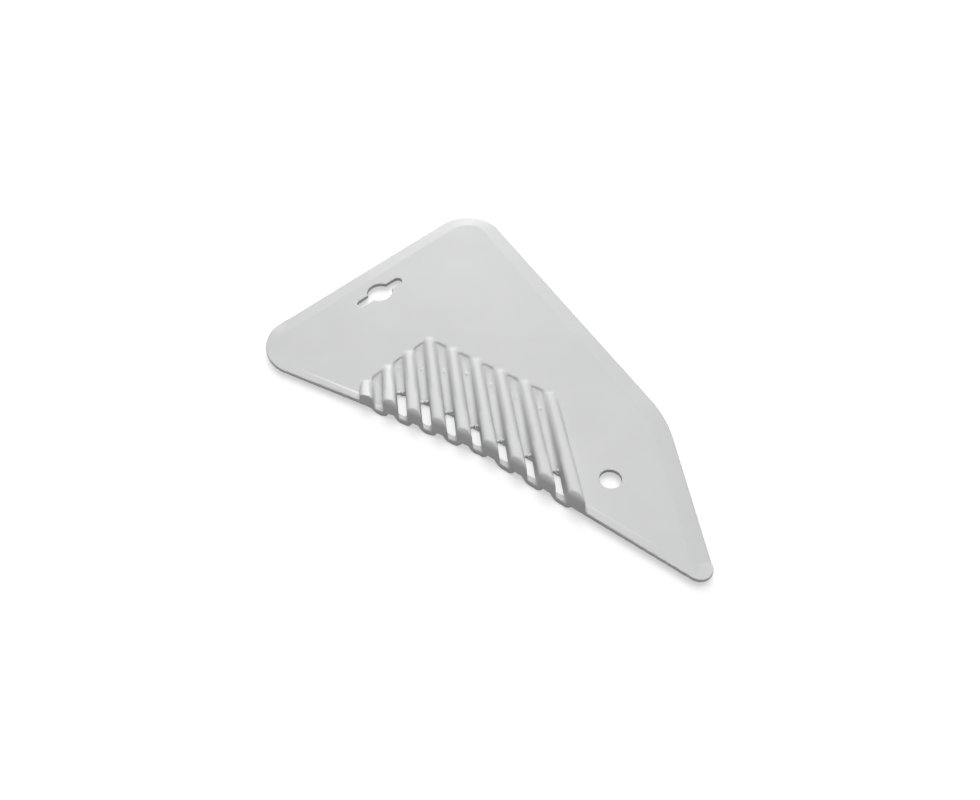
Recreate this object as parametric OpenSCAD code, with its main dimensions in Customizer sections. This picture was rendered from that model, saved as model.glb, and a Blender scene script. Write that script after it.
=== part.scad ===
// Paper-hanger's smoothing spatula, a single plastic moulding.
// A flat blade has a thinned working lip round three of its edges. Along its
// back edge it is pressed into a corrugated grip: upper ribs that rise towards
// the hand, and lower ribs that fill the valleys between them.
// The nodes are sections of the one moulding. They meet face to face.
//
// Frame: +X runs along the tool from heel to tip, +Y from the back edge to the
// top corner, +Z up from the blade. The origin is below the middle of the
// tool's box, at the height of the lowest rib.

/* [Blade outline] */
// Length over the heel and tip corners
tool_length = 250; // [245:1:258]
// Height from the back edge's ends to the top corner
tool_height = 155; // [152:1:162]
// Direction of the short working edge, up from +X
short_edge_angle = 77.3; // [75:0.1:79]
// Fall of the long working edge
long_edge_angle = 28.8; // [27:0.1:30]
// Distance of the shoulder from the heel's end
shoulder_x = 199; // [194:1:203]
// Rise of both halves of the back edge towards the grip
back_edge_angle = 5; // [4:0.1:6]
// Radius of the heel corner
heel_radius = 23; // [20:1:26]
// Radius of the top corner
top_radius = 20; // [16:1:24]
// Radius of the shoulder
shoulder_radius = 62; // [40:1:70]
// Radius of the tip corner
tip_radius = 6; // [5:0.5:7]

/* [Blade thickness] */
// Thickness of the blade
plate_t = 2.2; // [2:0.1:2.6]
// Width of the thinned working lip
lip_width = 8.6; // [7:0.1:10]
// Thickness at the outer edge of the lip
edge_t = 1.1; // [0.8:0.1:1.5]

/* [Back rim] */
// Width of the flat top of the raised rim on the back edge
rim_top = 3; // [2:0.1:4]
// Width of the slope from the rim down to the blade
rim_slope = 1.3; // [1:0.1:2.5]
// Height of the rim where it meets the grip
rim_height = 0.6; // [0.4:0.1:1]
// Length over which each rim dies away
rim_run = 38; // [30:1:42]

/* [Grip] */
// Number of upper ribs
rib_count = 9; // [6:1:9]
// Spacing of the ribs, square to their length
rib_pitch = 11; // [10.8:0.1:11.1]
// Lean of the ribs away from +Y
rib_lean = 39.5; // [38:0.5:41]
// Width of an upper rib at its crest
rib_width = 6.1; // [5.8:0.1:6.6]
// Radius of the shoulders of a rib's crest
rib_radius = 2.2; // [2:0.1:2.6]
// Draft of a rib's flanks
rib_draft = 3; // [2.5:0.5:3.5]
// Height of an upper rib over the blade at the back edge
rib_height = 8.6; // [7:0.1:9.5]
// Height of a rib's nose over the blade, at its upper end
rib_nose = 0.4; // [0.3:0.1:1.5]
// Slope of the nose down to the blade
nose_slope = 40; // [35:5:60]
// Steepest climb of a short rib's crest
rib_climb = 21; // [18:1:26]
// Radius that rounds a rib's crest into its end face
rib_end_radius = 3.6; // [2.5:0.1:4]
// Where the first rib's centre line meets the line under heel and tip
first_rib_x = 77.3; // [76:0.1:78]
// Distance of the grip's left border from the short working edge
grip_inset = 64.5; // [63:0.5:66]
// Height of the grip's upper border
grip_top = 56.5; // [52:0.5:60]
// Wall of the corrugation
wall = 1.8; // [1.5:0.1:2]

/* [Valleys] */
// Step from the blade down to a valley's floor at its upper end
valley_step = 1.3; // [1:0.1:1.5]
// Depth of the lower ribs under the blade, at the back edge
lower_depth = 2.8; // [2.4:0.1:3.2]
// Thickness of the wall that closes a valley at the back edge
end_wall = 3; // [2.5:0.1:4]
// Height of that wall over the blade's underside
end_wall_top = 0.7; // [0.4:0.1:1.2]
// Height of the gap under each upper rib's end face
arch_height = 1; // [0.6:0.1:1.4]
// Width of that gap
arch_width = 3.2; // [2.8:0.1:3.4]
// Farthest that a window reaches from the back edge
window_reach = 14.6; // [13:0.1:15]
// Height of the line that the other windows' upper edges follow, at its middle
window_top = 20.3; // [19:0.1:21]
// Fall of that line towards the tip
window_fall = 3.5; // [3:0.1:4]

/* [Holes] */
// Diameter of the round hang hole
hang_hole_d = 10; // [8:0.5:12]
// Distance of the hang hole from the heel's end
hang_hole_x = 193; // [190:1:196]
// Height of the hang hole
hang_hole_y = 26.5; // [25:0.5:30]
// Length of the display slot over its wings
slot_length = 30; // [28:1:34]
// Width of the slot's wings
slot_wing = 5; // [4.5:0.1:5.2]
// Diameter of the slot's middle
slot_round_d = 13.5; // [13:0.1:14.5]
// Distance of the slot's middle from the short working edge
slot_inset = 19.7; // [18:0.1:24]
// Distance of the slot's middle along that edge from the heel corner
slot_along = 49; // [40:1:60]

/* [Hidden] */
$fn = 96;
plastic = [0.88, 0.88, 0.87];
reach = 400;       // longer than the tool in any direction
arc_step = 4;      // turn of each short side of the blade's rounded corners
core_inset = 6;    // from the grip's border to the hollows under the ribs
lip_gap = 1;       // from each end of the lip to the rounding of that corner

// --- plan geometry -------------------------------------------------------
function along(a) = [cos(a), sin(a)];
// Square to direction a, on its left
function left_of(a) = [-sin(a), cos(a)];
// Where the line through p in direction a meets the one through q in direction b
function meet(p, a, q, b) =
    let (d = q - p, s = cos(a) * sin(b) - sin(a) * cos(b))
    p + along(a) * (d[0] * sin(b) - d[1] * cos(b)) / s;

// Directions of the edges, clockwise from the heel
short_dir = short_edge_angle;
long_dir = -long_edge_angle;
heel_back_dir = back_edge_angle;
tip_back_dir = -back_edge_angle;

heel_centre = [heel_radius, heel_radius];
heel_tangent = heel_centre + left_of(short_dir) * heel_radius;
tip_centre = [tool_length - tip_radius, tip_radius];
top_centre = meet(heel_tangent - left_of(short_dir) * top_radius, short_dir,
                  [0, tool_height - top_radius], 0);
long_tangent = top_centre + left_of(long_dir) * top_radius;
shoulder = meet(long_tangent, long_dir, [shoulder_x, 0], 90);
tip_gap = tip_centre - shoulder;
tip_dir = atan2(tip_gap[1], tip_gap[0]) + asin(tip_radius / norm(tip_gap));
tip_tangent = tip_centre + left_of(tip_dir) * tip_radius;
shoulder_cut = shoulder_radius * tan((long_dir - tip_dir) / 2);
shoulder_centre = shoulder - along(long_dir) * shoulder_cut
                  - left_of(long_dir) * shoulder_radius;
heel_back = heel_centre - left_of(heel_back_dir) * heel_radius;
tip_back = tip_centre - left_of(tip_back_dir) * tip_radius;

// Sharp corners of the blade: heel, top, shoulder, tip and the grip's bend
bend = meet(heel_back, heel_back_dir, tip_back, tip_back_dir);
corners = [meet(heel_tangent, short_dir, heel_back, heel_back_dir),
           meet(heel_tangent, short_dir, long_tangent, long_dir),
           shoulder,
           meet(shoulder, tip_dir, tip_back, tip_back_dir),
           bend];
corner_radii = [heel_radius, top_radius, shoulder_radius, tip_radius, 0];

// The same for the full-thickness blade inside the lip. The first and last
// corners lie well beyond the back edge, where the blade has no lip.
short_in = heel_tangent - left_of(short_dir) * lip_width;
long_in = long_tangent - left_of(long_dir) * lip_width;
tip_in = shoulder - left_of(tip_dir) * lip_width;
below = [0, -tool_height];
inner_corners = [meet(short_in, short_dir, below, 0),
                 meet(short_in, short_dir, long_in, long_dir),
                 meet(long_in, long_dir, tip_in, tip_dir),
                 meet(tip_in, tip_dir, below, 0)];
inner_radii = [0, top_radius - lip_width, shoulder_radius - lip_width, 0];

// Middle of the plan, which is put over the origin
plan_middle = [tool_length / 2, tool_height / 2];

// --- grip geometry -------------------------------------------------------
rib_step = rib_pitch / cos(rib_lean);        // spacing along +X
rib_dir = 90 + rib_lean;
lower_width = rib_pitch - rib_width - 2 * rib_height * tan(rib_draft) + 2 * wall;
far_floor = plate_t - valley_step;           // height of a valley's floor
near_floor = wall - lower_depth;
border = heel_tangent - left_of(short_dir) * grip_inset;

// Centre lines: whole numbers are upper ribs, halves the valleys between them
function line_x(i) = first_rib_x + rib_step * (i - 1);
// Distances along a centre line from the line under heel and tip
function far_end(i) = let (
        p = [line_x(i), 0],
        to_left = norm(meet(p, rib_dir, border, short_dir) - p),
        to_top = grip_top / cos(rib_lean))
    min(to_left, to_top);
function heel_end(i) = norm(meet([line_x(i), 0], rib_dir, heel_back, heel_back_dir)
                            - [line_x(i), 0]);
function tip_end(i) = norm(meet([line_x(i), 0], rib_dir, tip_back, tip_back_dir)
                           - [line_x(i), 0]);
function near_end(i) = min(heel_end(i), tip_end(i));
function on_heel_side(i) = heel_end(i) < tip_end(i);
function run(i) = far_end(i) - near_end(i);
function crest(i) = min(rib_height, rib_nose + run(i) * tan(rib_climb));
function crest_slope(i) = atan((crest(i) - rib_nose) / run(i));
// A corner of rib i's foot, at distance s along it; side is -1 towards the heel
function foot(i, s, side) =
    [line_x(i), 0] + along(rib_dir) * s
    - left_of(rib_dir) * side
      * (rib_width / 2
         + (rib_nose + (far_end(i) - s) * tan(crest_slope(i))) * tan(rib_draft));

// --- plan shapes ---------------------------------------------------------
// What is cut away to round the corner b between a and c
module corner_waste(a, b, c, r) {
    u = (a - b) / norm(a - b);
    v = (c - b) / norm(c - b);
    half = acos(u * v) / 2;
    centre = b + (u + v) / norm(u + v) * r / sin(half);
    p = b + u * r / tan(half);
    q = b + v * r / tan(half);
    difference() {
        polygon([p, 2 * p - centre, 2 * b - centre, 2 * q - centre, q]);
        translate(centre) circle(r, $fn = 180);
    }
}

module rounded(points, radii) {
    n = len(points);
    difference() {
        polygon(points);
        for (i = [0:n - 1])
            if (radii[i] > 0)
                corner_waste(points[(i + n - 1) % n], points[i], points[(i + 1) % n], radii[i]);
    }
}

// Points along the rounded corner b between a and c
function corner_arc(a, b, c, r) = let (
        u = (a - b) / norm(a - b),
        v = (c - b) / norm(c - b),
        half = acos(u * v) / 2,
        centre = b + (u + v) / norm(u + v) * r / sin(half),
        first = b + u * r / tan(half) - centre,
        turn = (180 - 2 * half) * sign(cross(v, u)),
        steps = ceil(abs(turn) / arc_step))
    [for (k = [0:steps]) centre + r * along(atan2(first[1], first[0]) + turn * k / steps)];

// A polygon's points, with corner i rounded to radii[i]
function rounded_points(points, radii) = let (n = len(points))
    [for (i = [0:n - 1]) each radii[i] > 0
        ? corner_arc(points[(i + n - 1) % n], points[i], points[(i + 1) % n], radii[i])
        : [points[i]]];

module outline() { polygon(rounded_points(corners, corner_radii)); }

// The plan past an end of the lip, where the blade keeps its full thickness.
// back is 0 for an end that the edge runs towards, and -reach for its start.
module end_cap(tangent, dir, back) {
    over = lip_width / 2;
    shift = back < 0 ? back + lip_gap : -lip_gap;
    translate(tangent) rotate(dir) translate([shift, -lip_width - over])
        square([reach, lip_width + 2 * over]);
}

// Everything inside the grip's left and upper borders, grown by extra
module grip_area(extra = 0) {
    low = border - left_of(short_dir) * -extra;
    top = meet(low, short_dir, [0, grip_top + extra], 0);
    polygon([low - along(short_dir) * reach, top, top + [reach, 0]]);
}

// The plan inside the back edge by at least d
module behind(d) {
    polygon([bend - along(heel_back_dir) * reach + [0, d / cos(back_edge_angle)],
             bend + [0, d / cos(back_edge_angle)],
             bend + along(tip_back_dir) * reach + [0, d / cos(back_edge_angle)],
             bend + [0, reach]]);
}

// A strip of the given width along centre line i
module strip(i, width) {
    translate([line_x(i), 0]) rotate(rib_lean)
        translate([-width / 2, -reach / 2]) square([width, reach]);
}

// The foot of upper rib i, carried on past both of its ends by extra
module rib_plan(i, extra) {
    from = near_end(i) - extra;
    to = far_end(i) + extra;
    polygon([foot(i, from, -1), foot(i, to, -1), foot(i, to, 1), foot(i, from, 1)]);
}

// The valley between upper ribs i and i + 1, up to inset from the back edge
module valley_plan(i, inset) {
    difference() {
        intersection() {
            strip(i + 0.5, rib_pitch);
            grip_area();
            behind(inset);
        }
        rib_plan(i, rib_pitch);
        rib_plan(i + 1, rib_pitch);
    }
}

// --- solids shared by several nodes --------------------------------------
// Puts children in line with centre line i, with +Y along it
module on_line(i) {
    translate([line_x(i), 0, 0]) rotate([0, 0, rib_lean]) children();
}

// A round-shouldered bar with drafted flanks under a rib's crest line, lowered by drop
module crest_bar(i, width, radius, drop) {
    depth = rib_height + plate_t + rib_pitch;
    spread = width / 2 + depth * tan(rib_draft);
    on_line(i) translate([0, far_end(i), plate_t + rib_nose - drop])
        rotate([90 - crest_slope(i), 0, 0]) translate([0, 0, -reach / 4])
            linear_extrude(reach / 2)
                rounded([[-width / 2, 0], [width / 2, 0], [spread, -depth], [-spread, -depth]],
                        [radius, radius, 0, 0]);
}

// The hollow under an upper rib, closed at the back edge
module rib_core(i) {
    intersection() {
        crest_bar(i, rib_width - 2 * wall, 0, wall);
        translate([0, 0, -1]) linear_extrude(plate_t + rib_height + 1) intersection() {
            grip_area(-core_inset);
            behind(end_wall - 0.4);
        }
    }
}

// The gap in the blade's edge under upper rib i, between two lower ribs
module arch(i) {
    translate([0, 0, -1]) linear_extrude(arch_height + 1) difference() {
        intersection() {
            strip(i, arch_width);
            behind(-rib_pitch);
        }
        behind(end_wall);
    }
}

// Keeps a rib inside the back edge and rounds its crest into its end face
module end_form(dir) {
    top = plate_t + rib_height;
    translate([bend[0], bend[1], 0]) rotate([0, 0, dir]) rotate([90, 0, 90])
        translate([0, 0, -reach / 2]) linear_extrude(reach) difference() {
            translate([0, plate_t]) square([reach / 2, rib_height]);
            difference() {
                translate([-1, top - rib_end_radius])
                    square([rib_end_radius + 1, rib_end_radius + 1]);
                translate([rib_end_radius, top - rib_end_radius]) circle(rib_end_radius);
            }
        }
}

// Everything above the slope of rib i's nose
module over_nose(i) {
    on_line(i) translate([0, far_end(i), plate_t]) rotate([-nose_slope, 0, 0])
        translate([-reach / 8, -reach / 4, 0]) cube([reach / 4, reach / 2, reach / 10]);
}

// A block whose face is the sloping floor of the valley on centre line i.
// It lies over the floor, or under it if under is true.
module floor_block(i, under = false) {
    fall = atan((far_floor - near_floor) / run(i));
    depth = reach / 10;
    on_line(i) translate([0, far_end(i), far_floor]) rotate([fall, 0, 0])
        translate([-reach / 8, -reach / 4, under ? -depth : 0])
            cube([reach / 4, reach / 2, depth]);
}

// Everything on the back edge's side of the windows' upper edges
module window_side(dir) {
    intersection() {
        translate([bend[0], bend[1], 0]) rotate([0, 0, dir])
            translate([-reach / 2, window_reach - reach, -reach / 2]) cube(reach);
        translate([bend[0], window_top, 0]) rotate([0, 0, -window_fall])
            translate([-reach / 2, -reach, -reach / 2]) cube(reach);
    }
}

// --- nodes ---------------------------------------------------------------
module centred() {
    translate([-plan_middle[0], -plan_middle[1], lower_depth]) children();
}

module display_slot() {
    middle = heel_tangent + along(short_dir) * slot_along - left_of(short_dir) * slot_inset;
    wing_end = slot_length / 2 - slot_wing / 2;
    translate([middle[0], middle[1], -1]) rotate([0, 0, short_dir]) {
        cylinder(d = slot_round_d, h = plate_t + 2);
        translate([-wing_end, -slot_wing / 2, 0]) cube([2 * wing_end, slot_wing, plate_t + 2]);
        for (side = [-1, 1])
            translate([side * wing_end, 0, 0]) cylinder(d = slot_wing, h = plate_t + 2);
    }
}

module blade() {
    color(plastic) centred() difference() {
        linear_extrude(plate_t) difference() {
            intersection() {
                outline();
                union() {
                    polygon(rounded_points(inner_corners, inner_radii));
                    end_cap(heel_tangent, short_dir, -reach);
                    end_cap(tip_tangent, tip_dir, 0);
                }
            }
            for (i = [1:rib_count - 1]) valley_plan(i, -rib_pitch);
        }
        display_slot();
        translate([hang_hole_x, hang_hole_y, -1]) cylinder(d = hang_hole_d, h = plate_t + 2);
        for (i = [1:rib_count]) rib_core(i);
        for (i = [2:rib_count - 1]) arch(i);
    }
}

// The thinned lip of a straight edge, from point p in direction dir
module straight_lip(p, dir, length) {
    color(plastic) centred()
        translate([p[0], p[1], 0]) rotate([0, 0, dir]) rotate([90, 0, 90])
            linear_extrude(length)
                polygon([[-lip_width, 0], [0, 0], [0, edge_t], [-lip_width, plate_t]]);
}

// The lip round a corner, from one edge direction to the next
module corner_lip(centre, r, from_dir, to_dir) {
    color(plastic) centred()
        translate([centre[0], centre[1], 0]) rotate([0, 0, to_dir + 90])
            rotate_extrude(angle = from_dir - to_dir, $fn = 180)
                polygon([[r - lip_width, 0], [r, 0], [r, edge_t], [r - lip_width, plate_t]]);
}

module short_edge_lip() {
    straight_lip(heel_tangent + along(short_dir) * lip_gap, short_dir,
                 norm(top_centre + left_of(short_dir) * top_radius - heel_tangent) - lip_gap);
}

module top_corner_lip() { corner_lip(top_centre, top_radius, short_dir, long_dir); }

module long_edge_lip() {
    straight_lip(long_tangent, long_dir, norm(shoulder - long_tangent) - shoulder_cut);
}

module shoulder_lip() { corner_lip(shoulder_centre, shoulder_radius, long_dir, tip_dir); }

module tip_edge_lip() {
    start = shoulder + along(tip_dir) * shoulder_cut;
    straight_lip(start, tip_dir, norm(tip_tangent - start) - lip_gap);
}

// A low rim on the back edge that dies away from rib i; side is -1 for the heel's
module back_rim(i, dir, side) {
    length = rim_run + rib_width;
    start = side < 0 ? meet([line_x(i), 0], rib_dir, heel_back, dir)
                     : meet([line_x(i), 0], rib_dir, tip_back, dir);
    color(plastic) centred() difference() {
        translate([start[0], start[1], plate_t]) rotate([0, 0, dir]) intersection() {
            rotate([90, 0, 0]) translate([0, 0, -rim_top - rim_slope])
                linear_extrude(rim_top + rim_slope)
                    polygon([[0, 0], [side * length, 0], [0, rim_height]]);
            rotate([90, 0, 90]) translate([0, 0, side < 0 ? -length : 0])
                linear_extrude(length)
                    polygon([[0, 0], [rim_top + rim_slope, 0], [rim_top, rim_height],
                             [0, rim_height]]);
        }
        linear_extrude(plate_t + rim_height + 1) rib_plan(i, rib_pitch);
    }
}

module heel_rim() { back_rim(1, heel_back_dir, -1); }

module tip_rim() { back_rim(rib_count, tip_back_dir, 1); }

module upper_rib(i) {
    color(plastic) centred() difference() {
        intersection() {
            crest_bar(i, rib_width, rib_radius, 0);
            end_form(on_heel_side(i) ? heel_back_dir : tip_back_dir);
        }
        over_nose(i);
        rib_core(i);
    }
}

// Lower rib i fills the valley between upper ribs i and i + 1
module lower_rib(i) {
    v = i + 0.5;
    dir = on_heel_side(v) ? heel_back_dir : tip_back_dir;
    far_depth = wall - far_floor;
    radius = (lower_width * lower_width / 4 + lower_depth * lower_depth) / (2 * lower_depth);
    dip = atan((lower_depth - far_depth) / run(v));
    color(plastic) centred() {
        // the round underside, with the valley sunk into it
        difference() {
            intersection() {
                on_line(v) translate([0, far_end(v), radius - far_depth])
                    rotate([90 + dip, 0, 0]) translate([0, 0, -reach / 4])
                        cylinder(r = radius, h = reach / 2);
                translate([0, 0, -lower_depth - 1]) linear_extrude(lower_depth + 1)
                    intersection() {
                        outline();
                        grip_area(wall);
                        strip(v, lower_width);
                    }
            }
            intersection() {
                union() {
                    floor_block(v);
                    if (i > 1) window_side(dir);
                }
                translate([0, 0, -lower_depth - 1]) linear_extrude(lower_depth + 2)
                    valley_plan(i, end_wall);
            }
        }
        // the floor between the blade's walls
        difference() {
            intersection() {
                linear_extrude(plate_t) valley_plan(i, end_wall);
                floor_block(v, true);
            }
            if (i > 1) window_side(dir);
        }
        // the top of the wall at the back edge
        linear_extrude(end_wall_top) difference() {
            valley_plan(i, 0);
            behind(end_wall);
        }
    }
}

blade();
short_edge_lip();
top_corner_lip();
long_edge_lip();
shoulder_lip();
tip_edge_lip();
heel_rim();
tip_rim();
for (i = [1:rib_count])
    upper_rib(i);
for (i = [1:rib_count - 1])
    lower_rib(i);
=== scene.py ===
import math
import random

import bmesh
import bpy
import numpy as np
from mathutils import Matrix, Vector


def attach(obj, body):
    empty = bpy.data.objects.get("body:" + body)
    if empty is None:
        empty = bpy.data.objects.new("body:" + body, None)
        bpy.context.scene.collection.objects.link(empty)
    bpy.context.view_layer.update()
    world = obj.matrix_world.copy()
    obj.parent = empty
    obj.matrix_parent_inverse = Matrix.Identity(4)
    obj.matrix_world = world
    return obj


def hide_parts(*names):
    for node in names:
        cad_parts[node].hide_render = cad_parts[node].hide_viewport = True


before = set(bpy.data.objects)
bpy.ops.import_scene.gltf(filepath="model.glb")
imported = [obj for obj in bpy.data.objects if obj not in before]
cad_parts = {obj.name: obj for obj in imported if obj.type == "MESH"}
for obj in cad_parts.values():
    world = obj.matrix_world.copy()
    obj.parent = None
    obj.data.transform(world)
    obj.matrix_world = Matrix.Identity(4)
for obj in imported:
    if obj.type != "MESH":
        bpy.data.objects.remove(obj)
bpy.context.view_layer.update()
MM = 0.001

# ---------------------------------------------------------------- camera ----
# Where the photographer stood: in front of the back edge and a little to the
# tip's side, looking down at about 49 degrees, with the camera barely rolled.
eye = Vector((143.1, -263.8, 315.4)) * MM
target = Vector((-2.4, -40.0, 5.0)) * MM
camera_data = bpy.data.cameras.new("camera")
camera_data.sensor_fit = "HORIZONTAL"
camera_data.sensor_width = 36
camera_data.lens = 31.22
camera_data.clip_start = 0.01
camera = bpy.data.objects.new("camera", camera_data)
bpy.context.scene.collection.objects.link(camera)
aim = (target - eye).to_track_quat("-Z", "Y").to_matrix().to_4x4()
roll = Matrix.Rotation(math.radians(-1.07), 4, "Z")
camera.matrix_world = Matrix.Translation(eye) @ aim @ roll
bpy.context.scene.camera = camera


# -------------------------------------------------------------- plan shape --
# The tool's own plan, in millimetres from the heel: x 0 to 250, y 0 to 155.
# These are part.scad's dimensions, because the skin's details follow them.
SHIFT = np.array((-125.0, -77.5, 2.8))
LENGTH, HEIGHT, SHOULDER_X = 250.0, 155.0, 199.0
PLATE = 2.2
LIP, EDGE = 8.6, 1.1
SHORT, LONG, BACK = 77.3, -28.8, 5.0
HEEL_R, TOP_R, SHOULDER_R, TIP_R = 23.0, 20.0, 62.0, 6.0
PITCH, LEAN, FIRST_RIB = 11.0, 39.5, 77.3
GRIP_INSET, GRIP_TOP = 64.5, 56.5
# a valley's floor over the blade's underside, at its far end and at the back edge
FAR_FLOOR, NEAR_FLOOR = 0.9, -1.0
# the windows' upper edges, and where the back edge bends
WINDOW_REACH, WINDOW_TOP, WINDOW_FALL = 14.6, 20.3, 3.5
BEND_X = 134.3


def along(a):
    a = math.radians(a)
    return np.array((math.cos(a), math.sin(a)))


def left_of(a):
    a = math.radians(a)
    return np.array((-math.sin(a), math.cos(a)))


def meet(p, a, q, b):
    d = np.subtract(q, p)
    a, b = math.radians(a), math.radians(b)
    s = math.sin(b - a)
    return np.array(p) + np.array((math.cos(a), math.sin(a))) * (
        (d[0] * math.sin(b) - d[1] * math.cos(b)) / s
    )


heel_centre = np.array((HEEL_R, HEEL_R))
heel_start = heel_centre + left_of(SHORT) * HEEL_R
top_centre = meet(heel_start - left_of(SHORT) * TOP_R, SHORT, (0, HEIGHT - TOP_R), 0)
long_start = top_centre + left_of(LONG) * TOP_R
shoulder = meet(long_start, LONG, (SHOULDER_X, 0), 90)
tip_centre = np.array((LENGTH - TIP_R, TIP_R))
gap = tip_centre - shoulder
TIP = math.degrees(math.atan2(gap[1], gap[0]) + math.asin(TIP_R / np.hypot(*gap)))
tip_end = tip_centre + left_of(TIP) * TIP_R
border = heel_start - left_of(SHORT) * GRIP_INSET
STEP = PITCH / math.cos(math.radians(LEAN))


def smooth(x):
    x = np.clip(x, 0, 1)
    return x * x * (3 - 2 * x)


def inside_edge(xy):
    """How far in each point lies from the working edges, and how much of their lip is left.

    The second is 1 along the edges and falls to 0 where the lip has run out at heel and tip.
    """
    d_short = -(xy - heel_start) @ left_of(SHORT)
    d_long = -(xy - long_start) @ left_of(LONG)
    d_tip = -(xy - tip_end) @ left_of(TIP)
    # round the top corner, the distance is measured from its centre
    v = xy - top_centre
    in_top = (v @ along(SHORT) > 0) & (v @ along(LONG) < 0)
    d_top = TOP_R - np.hypot(v[:, 0], v[:, 1])
    # and round the shoulder
    cut = SHOULDER_R * math.tan(math.radians((LONG - TIP) / 2))
    centre = shoulder - along(LONG) * cut - left_of(LONG) * SHOULDER_R
    w = xy - centre
    in_shoulder = (w @ along(LONG) > 0) & (w @ along(TIP) < 0)
    d_shoulder = SHOULDER_R - np.hypot(w[:, 0], w[:, 1])
    # the heel and tip arcs carry the edge on while it runs out
    h = xy - heel_centre
    d_heel = HEEL_R - np.hypot(h[:, 0], h[:, 1])
    t = xy - tip_centre
    d_tip_arc = TIP_R - np.hypot(t[:, 0], t[:, 1])
    past_heel = -(h @ along(SHORT))
    past_tip = t @ along(TIP)
    d = np.minimum(np.minimum(d_short, d_long), d_tip)
    d = np.where(in_top, d_top, d)
    d = np.where(in_shoulder, np.minimum(d_shoulder, d_tip), d)
    d = np.where((past_heel > 0) & (h @ left_of(SHORT) > 0), d_heel, d)
    d = np.where((past_tip > 0) & (t @ left_of(TIP) > -1), d_tip_arc, d)
    fade = 1 - smooth(past_heel / 11)
    fade = fade * (1 - smooth((past_tip + 4) / 9))
    return d, fade


# -------------------------------------------------------------- the skin ----
def moulding():
    """Every node's mesh in one, so that the sections read as a single moulding."""
    bm = bmesh.new()
    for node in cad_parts.values():
        bm.from_mesh(node.data)
    mesh = bpy.data.meshes.new("moulding")
    bm.to_mesh(mesh)
    bm.free()
    piece = bpy.data.objects.new("moulding", mesh)
    bpy.context.scene.collection.objects.link(piece)
    return piece


def bake(piece):
    """The piece's modifiers, made part of its mesh."""
    bpy.context.view_layer.update()
    graph = bpy.context.evaluated_depsgraph_get()
    mesh = bpy.data.meshes.new_from_object(piece.evaluated_get(graph))
    old = piece.data
    piece.modifiers.clear()
    piece.data = mesh
    bpy.data.meshes.remove(old)


spatula = moulding()
remesh = spatula.modifiers.new("skin", "REMESH")
remesh.mode = "VOXEL"
remesh.voxel_size = 0.45 * MM
bake(spatula)


def coordinates(mesh):
    co = np.empty(len(mesh.vertices) * 3, np.float32)
    mesh.vertices.foreach_get("co", co)
    return co.reshape(-1, 3).astype(float)


def grip_weight(xy):
    """1 over the corrugated grip and 0 on the flat of the blade."""
    left = (xy - border) @ left_of(SHORT)
    top = xy[:, 1] - GRIP_TOP
    right = (xy - np.array((FIRST_RIB + 8 * STEP, 0))) @ -left_of(90 + LEAN) - 4.2
    over = np.maximum(np.maximum(left, top), right)
    return 1 - smooth((over - 0.5) / 2.5)


def behind_edge(xy):
    """How far each point lies in from the back edge."""
    heel_side = (xy - (heel_centre - left_of(BACK) * HEEL_R)) @ left_of(BACK)
    tip_side = (xy - (tip_centre - left_of(-BACK) * TIP_R)) @ left_of(-BACK)
    return np.minimum(heel_side, tip_side)


def across(xy):
    """0 on a crest's centre line to 1 in the middle of a valley, and the rib's number."""
    s = (xy - np.array((FIRST_RIB, 0))) @ -left_of(90 + LEAN) / PITCH
    return 1 - np.abs((s % 1) * 2 - 1), s + 1


def foot_of(number):
    """Where the centre line of a rib, or of a valley at a half number, meets y = 0."""
    return np.array((FIRST_RIB + STEP * (number - 1), 0.0))


def line_ends(number):
    """How far along a rib's or valley's centre line its two ends lie, from the line under heel and tip."""
    foot = foot_of(number)
    near = line_point(number, 0)[1]
    far = min(
        np.linalg.norm(meet(foot, 90 + LEAN, border, SHORT) - foot),
        GRIP_TOP / math.cos(math.radians(LEAN)),
    )
    return near, far


def floor_height(number, along_line):
    """Height of a valley's floor, which falls towards the back edge."""
    near, far = line_ends(number)
    return FAR_FLOOR - (FAR_FLOOR - NEAR_FLOOR) * (far - along_line) / (far - near)


def line_point(number, reach):
    """On a centre line, at a distance in from the back edge, and its distance along the line."""
    foot = foot_of(number)
    near = min(
        np.linalg.norm(meet(foot, 90 + LEAN, centre - left_of(side) * (r - reach), side) - foot)
        for side, centre, r in ((BACK, heel_centre, HEEL_R), (-BACK, tip_centre, TIP_R))
    )
    return foot + along(90 + LEAN) * near, near


def valley_of(points):
    return across(points[:, :2])[0]


def window_edge(number):
    """Where the upper edge of a valley's window crosses its centre line, and the distance along the line."""
    foot = foot_of(number)
    by_reach = line_point(number, WINDOW_REACH)[1]
    by_line = np.linalg.norm(meet(foot, 90 + LEAN, (BEND_X, WINDOW_TOP), -WINDOW_FALL) - foot)
    run_in = min(by_reach, by_line) + 0.3
    return foot + along(90 + LEAN) * run_in, run_in


def soften(piece, name, weight, passes):
    """Rounds the piece's creases where weight is above 0."""
    group = piece.vertex_groups.new(name=name)
    for level in range(1, 11):
        chosen = np.flatnonzero(np.round(weight * 10).astype(int) == level)
        group.add([int(i) for i in chosen], level / 10, "REPLACE")
    modifier = piece.modifiers.new(name, "SMOOTH")
    modifier.vertex_group = name
    modifier.factor = 0.5
    modifier.iterations = max(1, passes // (1))
    bake(piece)


# the ribs' edges, kept crisper beside the back edge
co = coordinates(spatula.data) / MM - SHIFT
weight = grip_weight(co[:, :2])
near = smooth((behind_edge(co[:, :2]) - 3.5) / 2)
soften(spatula, "grip", weight * (0.2 + 0.8 * near), 8)

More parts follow.
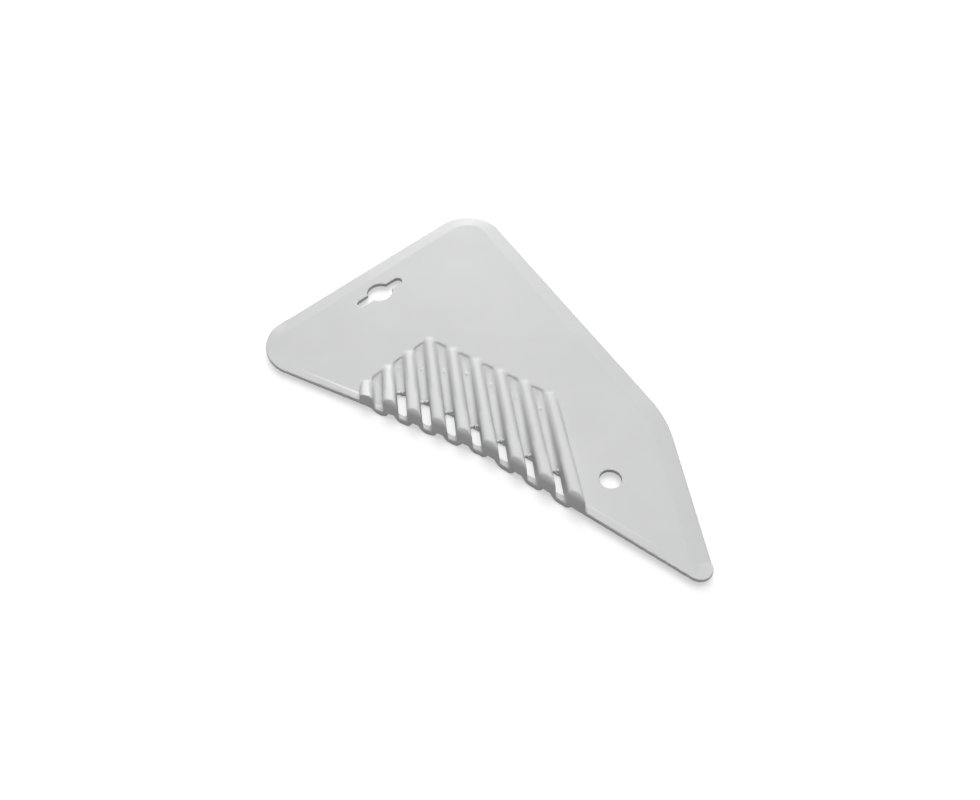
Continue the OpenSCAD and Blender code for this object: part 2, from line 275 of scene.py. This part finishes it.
# the valleys' feet, clear of the windows
co = coordinates(spatula.data) / MM - SHIFT
valley, rib = across(co[:, :2])
weight = grip_weight(co[:, :2]) * smooth((valley - 0.2) / 0.2)
far_side = np.maximum((co[:, :2] - border) @ left_of(SHORT), co[:, 1] - GRIP_TOP)
weight = weight * smooth((-1.2 - far_side) / 1.2)
down_line = co[:, :2] @ along(90 + LEAN)
for i in range(1, 9):
    number = i + 0.5
    here = np.floor(rib).astype(int) == i
    foot = foot_of(number)
    run_in = down_line - foot @ along(90 + LEAN)
    surface = floor_height(number, run_in)
    stop = window_edge(number)[1] + 1 if i > 1 else line_point(number, 4)[1]
    weight = np.where(here, weight * smooth((run_in - stop) / 2), weight)
    weight = np.where(here & (co[:, 2] < surface - 0.6), 0, weight)
weight = np.where((rib < 1) | (rib > 9), 0, weight)
soften(spatula, "valleys", weight, 90)

# the ribs' noses
co = coordinates(spatula.data) / MM - SHIFT
over_border = np.maximum((co[:, :2] - border) @ left_of(SHORT), co[:, 1] - GRIP_TOP)
weight = smooth((3.5 - np.abs(over_border)) / 1.5) * (co[:, 2] > 1.6)
weight = weight * smooth((0.75 - valley_of(co)) / 0.2)
weight = weight * smooth((behind_edge(co[:, :2]) - 3) / 2)
soften(spatula, "noses", weight, 30)

# the lip runs out into the heel and the tip
mesh = spatula.data
co = coordinates(mesh) / MM - SHIFT
d, fade = inside_edge(co[:, :2])
away = 1 - grip_weight(co[:, :2])
target_z = PLATE - (PLATE - EDGE) * np.clip(1 - d / LIP, 0, 1) * fade
low = (co[:, 2] > target_z) & (target_z < PLATE - 0.001) & (away > 0.5)
co[low, 2] = target_z[low]
mesh.vertices.foreach_set("co", ((co + SHIFT) * MM).astype(np.float32).ravel())
mesh.update()


# -------------------------------------------------------------- material ----
def node_of(tree, kind, x, y, **values):
    n = tree.nodes.new(kind)
    n.location = (x, y)
    for key, value in values.items():
        setattr(n, key, value)
    return n


def plastic(name, dullest, glossiest, highlight_paler=1.0):
    """White styrene: faint flow mottling and a fine moulded grain. A last argument above 1 gives a paler
    copy, whose extra brightness is a painted highlight.
    """
    m = bpy.data.materials.new(name)
    m.use_nodes = True
    t = m.node_tree
    shader = t.nodes["Principled BSDF"]
    shader.inputs["IOR"].default_value = 1.5
    shader.inputs["Specular IOR Level"].default_value = 0.45
    where = node_of(t, "ShaderNodeTexCoord", -1200, 0)

    flow = node_of(t, "ShaderNodeTexNoise", -900, 200)
    flow.inputs["Scale"].default_value = 28
    flow.inputs["Detail"].default_value = 4
    flow.inputs["Roughness"].default_value = 0.55
    flow.inputs["Distortion"].default_value = 0.6
    t.links.new(where.outputs["Object"], flow.inputs["Vector"])
    tint = node_of(t, "ShaderNodeValToRGB", -600, 200)
    tint.color_ramp.elements[0].position = 0.3
    # a factor above 1 lifts both colours of the ramp, a painted highlight rather than the styrene's own tone
    tint.color_ramp.elements[0].color = (0.655 * highlight_paler, 0.657 * highlight_paler, 0.660 * highlight_paler, 1)
    tint.color_ramp.elements[1].position = 0.7
    tint.color_ramp.elements[1].color = (0.685 * highlight_paler, 0.687 * highlight_paler, 0.690 * highlight_paler, 1)
    t.links.new(flow.outputs["Fac"], tint.inputs["Fac"])
    t.links.new(tint.outputs["Color"], shader.inputs["Base Color"])

    dull = node_of(t, "ShaderNodeTexNoise", -900, -100)
    dull.inputs["Scale"].default_value = 90
    dull.inputs["Detail"].default_value = 3
    t.links.new(where.outputs["Object"], dull.inputs["Vector"])
    rough = node_of(t, "ShaderNodeMapRange", -600, -100)
    rough.inputs["To Min"].default_value = glossiest
    rough.inputs["To Max"].default_value = dullest
    t.links.new(dull.outputs["Fac"], rough.inputs["Value"])
    t.links.new(rough.outputs["Result"], shader.inputs["Roughness"])

    grain = node_of(t, "ShaderNodeTexNoise", -900, -400)
    grain.inputs["Scale"].default_value = 1400
    grain.inputs["Detail"].default_value = 2
    t.links.new(where.outputs["Object"], grain.inputs["Vector"])
    bump = node_of(t, "ShaderNodeBump", -300, -400)
    bump.inputs["Strength"].default_value = 0.12
    bump.inputs["Distance"].default_value = 0.05 * MM
    t.links.new(grain.outputs["Fac"], bump.inputs["Height"])
    t.links.new(bump.outputs["Normal"], shader.inputs["Normal"])
    return m


# the marks that the mould left: a pip in each valley, and flash on the windows' upper corners, shaped for
# real and drawn in the paler copy of the plastic as a painted highlight
def blob(bm, x, y, z, radius, height, dent=0.0):
    """An uneven little dome, with a dent in its top if dent is above 0."""
    sides, rings = 12, []
    for r, h in ((1.1, -0.3), (1.0, 0.3), (0.8, 1.0), (0.4, 1 - dent)):
        row = []
        for k in range(sides):
            a = 2 * math.pi * k / sides
            wobble = 1 + dice.uniform(-0.22, 0.22)
            row.append(
                bm.verts.new(
                    (
                        (x + radius * r * wobble * math.cos(a) + SHIFT[0]) * MM,
                        (y + radius * r * wobble * math.sin(a) + SHIFT[1]) * MM,
                        (z + height * h * (1 + dice.uniform(-0.3, 0.3)) + SHIFT[2]) * MM,
                    )
                )
            )
        rings.append(row)
    for a, b in zip(rings, rings[1:]):
        for k in range(sides):
            bm.faces.new((a[k], a[(k + 1) % sides], b[(k + 1) % sides], b[k]))
    bm.faces.new(list(reversed(rings[0])))
    bm.faces.new(rings[-1])


mesh.materials.clear()
mesh.materials.append(plastic("white_plastic", 0.56, 0.42))
# a glossier copy for the mould marks, its colour lifted 1.32 times as a painted highlight for the glints on
# them
mesh.materials.append(plastic("glossy_marks_painted_highlight", 0.25, 0.12, 1.32))
dice = random.Random(7)
bm = bmesh.new()
bm.from_mesh(mesh)
plain = len(bm.faces)
slope = math.tan(math.radians(LEAN))
for i in range(2, 9):
    number = i + 0.5
    y = min(47.0, 33 + 4.8 * (i - 2))
    x = FIRST_RIB + STEP * (number - 1) - y * slope
    z = floor_height(number, y / math.cos(math.radians(LEAN)))
    blob(bm, x, y, z, 1.05, 0.6, dent=0.9)
    blob(bm, x - 0.9, y + 0.9, z, 0.5, 0.7)
    corner, run_in = window_edge(number)
    z = floor_height(number, run_in)
    square_on = -left_of(90 + LEAN)
    for side, size in ((-1, 0.75), (0.1, 0.35), (1, 0.7)):
        at = corner + square_on * side * 1.5
        blob(bm, at[0], at[1], z + 0.3, size, 1.0)
# the marks take the second material: its gloss is real and its paler colour is a painted highlight
for face in bm.faces[plain:]:
    face.material_index = 1
bm.to_mesh(mesh)
bm.free()
for polygon in mesh.polygons:
    polygon.use_smooth = True
mesh.update()


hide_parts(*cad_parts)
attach(spatula, "root")


# ----------------------------------------------------------------- stage ----
def floor():
    """A plain white sweep under the tool."""
    bm = bmesh.new()
    half = 3.0
    plan = ((-half, -half), (half, -half), (half, half), (-half, half))
    bm.faces.new([bm.verts.new((x, y, 0)) for x, y in plan])
    mesh = bpy.data.meshes.new("floor")
    bm.to_mesh(mesh)
    bm.free()
    piece = bpy.data.objects.new("floor", mesh)
    bpy.context.scene.collection.objects.link(piece)
    m = bpy.data.materials.new("paper")
    m.use_nodes = True
    t = m.node_tree
    paper = t.nodes["Principled BSDF"]
    paper.inputs["Base Color"].default_value = (0.6, 0.6, 0.6, 1)
    paper.inputs["Roughness"].default_value = 0.9
    paper.inputs["Specular IOR Level"].default_value = 0
    # a white glow that only the camera sees, so that the paper looks
    # overexposed and the light that it throws back on the tool stays pale
    path = t.nodes.new("ShaderNodeLightPath")
    paper.inputs["Emission Color"].default_value = (0.55, 0.55, 0.55, 1)
    t.links.new(path.outputs["Is Camera Ray"], paper.inputs["Emission Strength"])
    mesh.materials.append(m)


def softbox(name, azimuth, elevation, distance, size, power):
    """A square light; azimuth is its plan direction from the tool, in degrees from +X."""
    data = bpy.data.lights.new(name, "AREA")
    data.shape = "SQUARE"
    data.size = size
    data.energy = power
    lamp = bpy.data.objects.new(name, data)
    a, e = math.radians(azimuth), math.radians(elevation)
    lamp.location = Vector((math.cos(a) * math.cos(e), math.sin(a) * math.cos(e), math.sin(e))) * distance
    lamp.rotation_euler = (-lamp.location).to_track_quat("-Z", "Y").to_euler()
    bpy.context.scene.collection.objects.link(lamp)


floor()
softbox("back_light", 125, 14, 4.0, 1.8, 80)
softbox("side_light", 125, 55, 2.0, 1.2, 4.5)
softbox("top_light", 100, 84, 1.5, 1.2, 14.6)
world = bpy.data.worlds.new("studio")
world.use_nodes = True
world.node_tree.nodes["Background"].inputs["Color"].default_value = (1, 1, 1, 1)
world.node_tree.nodes["Background"].inputs["Strength"].default_value = 0.165
bpy.context.scene.world = world
bpy.context.scene.view_settings.view_transform = "Standard"
bpy.context.scene.view_settings.look = "None"
